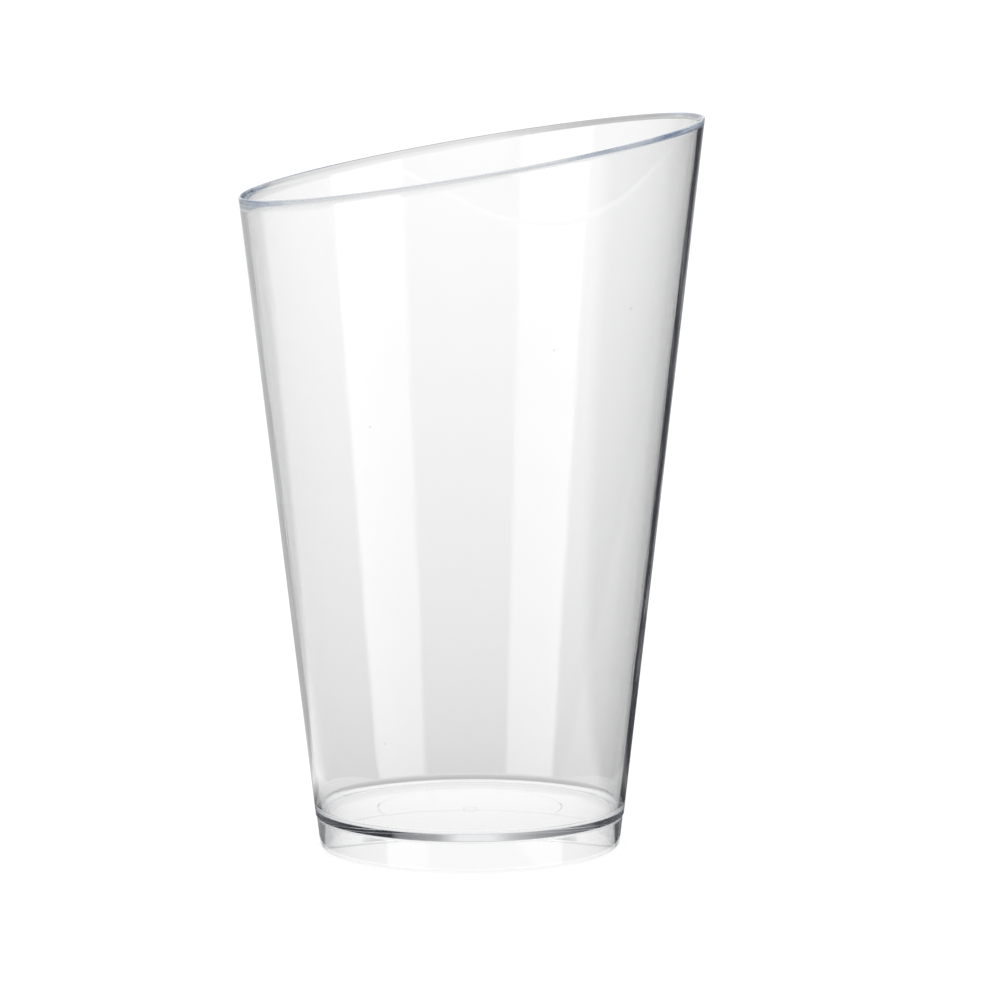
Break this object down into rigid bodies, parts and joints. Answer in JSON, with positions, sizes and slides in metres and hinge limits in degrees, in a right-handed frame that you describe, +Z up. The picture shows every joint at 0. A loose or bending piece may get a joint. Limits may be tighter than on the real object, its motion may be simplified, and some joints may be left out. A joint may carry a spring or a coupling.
{
  "type": "plastic dessert cup",
  "caption": "Clear moulded plastic dessert cup: a tapered round wall with a slanted mouth, a rounded lip, a flat floor and a low hollow foot.",
  "frame": {"origin": "middle of the foot, on the table", "axes": "+Z up along the cup's axis, +X towards the high side of the rim"},
  "size_m": [0.0608, 0.0608, 0.096],
  "materials": {
    "clear_plastic": "clear, glossy, slightly cool polystyrene"
  },
  "bodies": {
    "root": {"cup": "clear_plastic"}
  },
  "joints": []
}
